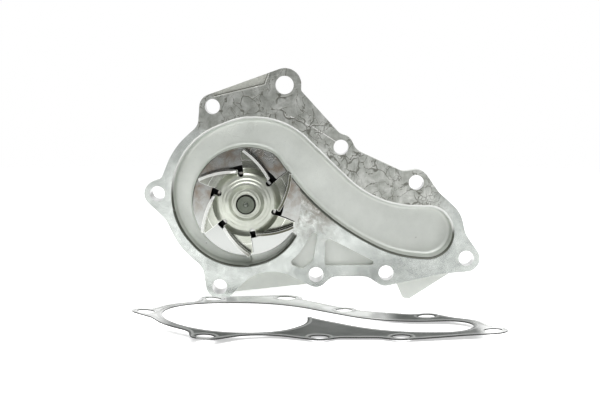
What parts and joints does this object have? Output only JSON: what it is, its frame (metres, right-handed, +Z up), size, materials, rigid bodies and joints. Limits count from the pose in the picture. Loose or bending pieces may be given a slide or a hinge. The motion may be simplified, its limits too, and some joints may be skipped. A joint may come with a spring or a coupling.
{
  "type": "engine coolant pump",
  "caption": "Cast aluminium coolant pump with a scroll housing and long outlet channel, open vaned impeller, fan hub and a loose mounting gasket.",
  "frame": {"origin": "shaft axis in the plane of the mounting face", "axes": "-Y out of the mounting face towards the engine, +Y along the shaft to the drive hub, +Z up, +X towards the outlet channel"},
  "size_m": [0.2039, 0.2381, 0.1407],
  "materials": {
    "cast_aluminium": "die-cast skin with machined faces",
    "filter_felt": "felt",
    "bearing_steel": "ground",
    "seal_rubber": "matt",
    "cage_polymer": "moulded",
    "shaft_steel": "turned",
    "plated_steel": "pressed and zinc plated",
    "ceramic": "lapped",
    "seal_brass": "drawn",
    "carbon": "lapped",
    "spring_steel": "bright wire",
    "hub_steel": "machined, dark phosphate",
    "stud_steel": "yellow zinc",
    "gasket_steel": "coated embossed steel"
  },
  "bodies": {
    "housing": {"pump_housing": "cast_aluminium", "weep_plug": "filter_felt", "bearing_outer_ring": "bearing_steel", "bearing_seal_front": "seal_rubber", "bearing_seal_rear": "seal_rubber", "seal_shell": "seal_brass", "seal_carbon_ring": "carbon", "seal_bellows": "seal_rubber", "seal_spring": "spring_steel", "seal_spring_seat_front": "seal_brass", "seal_spring_seat_rear": "seal_brass"},
    "rotor": {"pump_shaft": "shaft_steel", "impeller": "plated_steel", "impeller_collar": "plated_steel", "seal_seat_boot": "seal_rubber", "seal_seat_ring": "ceramic", "slinger_ring": "seal_rubber", "drive_hub": "hub_steel", "hub_studs": "stud_steel"},
    "ball_train": {"bearing_balls": "bearing_steel", "ball_cage": "cage_polymer"},
    "roller_train": {"bearing_rollers": "bearing_steel", "roller_cage": "cage_polymer"},
    "gasket": {"mounting_gasket": "gasket_steel"}
  },
  "joints": [
    {"name": "shaft_spin", "type": "hinge", "parent": "housing", "child": "rotor", "pos_m": [0, 0, 0], "axis": [0, 1, 0], "continuous": true},
    {"name": "ball_orbit", "type": "hinge", "parent": "housing", "child": "ball_train", "pos_m": [0, 0, 0], "axis": [0, 1, 0], "continuous": true},
    {"name": "roller_orbit", "type": "hinge", "parent": "housing", "child": "roller_train", "pos_m": [0, 0, 0], "axis": [0, 1, 0], "continuous": true},
    {"name": "gasket_slide", "type": "slide", "parent": "housing", "child": "gasket", "axis": [0, -1, 0], "range_m": [0, 0.12]}
  ],
  "couplings": [
    {"joint": "ball_orbit", "follows": "shaft_spin", "ratio": 0.34638},
    {"joint": "roller_orbit", "follows": "shaft_spin", "ratio": 0.3898}
  ]
}
